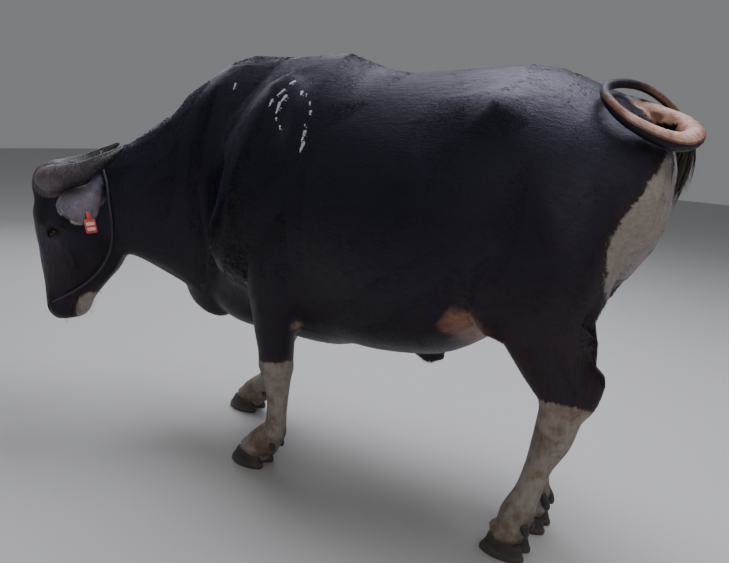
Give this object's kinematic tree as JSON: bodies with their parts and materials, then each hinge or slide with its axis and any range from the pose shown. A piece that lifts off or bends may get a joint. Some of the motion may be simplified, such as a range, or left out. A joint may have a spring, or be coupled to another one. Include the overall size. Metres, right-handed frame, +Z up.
{
  "type": "bali cattle bull",
  "caption": "Life-size Bali cattle bull standing still with its head turned down to feed, pale stockings and rump, swept-back horns, a rope halter without its lead and a plain ear tag.",
  "frame": {"origin": "On the floor under the middle of the bounding box", "axes": "+X towards the rump, so the bull faces -X; -Y is its left side, which the picture shows; +Z up"},
  "size_m": [2.0614, 0.8174, 1.3393],
  "materials": {
    "coat": "short sleek hair",
    "horn": "ringed horn, stands in for keratin",
    "hoof": "worn hoof, stands in for keratin",
    "eye": "wet dark eye",
    "rope": "twisted cord, weathered",
    "tag": "moulded red plastic, unprinted"
  },
  "bodies": {
    "root": {"torso": "coat", "scrotum": "coat", "head": "coat", "neck": "coat", "fore_leg_left": "coat", "fore_leg_right": "coat", "hind_leg_left": "coat", "hind_leg_right": "coat", "tail_root": "coat", "tail_bend": "coat", "tail_middle": "coat", "tail_end": "coat", "tail_switch": "coat", "ear_left": "coat", "ear_right": "coat", "horn_left": "horn", "horn_right": "horn", "eye_left": "eye", "eye_right": "eye", "hoof_fore_leg_left_inner": "hoof", "hoof_fore_leg_left_outer": "hoof", "hoof_fore_leg_right_inner": "hoof", "hoof_fore_leg_right_outer": "hoof", "hoof_hind_leg_left_inner": "hoof", "hoof_hind_leg_left_outer": "hoof", "hoof_hind_leg_right_inner": "hoof", "hoof_hind_leg_right_outer": "hoof", "halter_left": "rope", "halter_right": "rope", "ear_tag": "tag"}
  },
  "joints": []
}
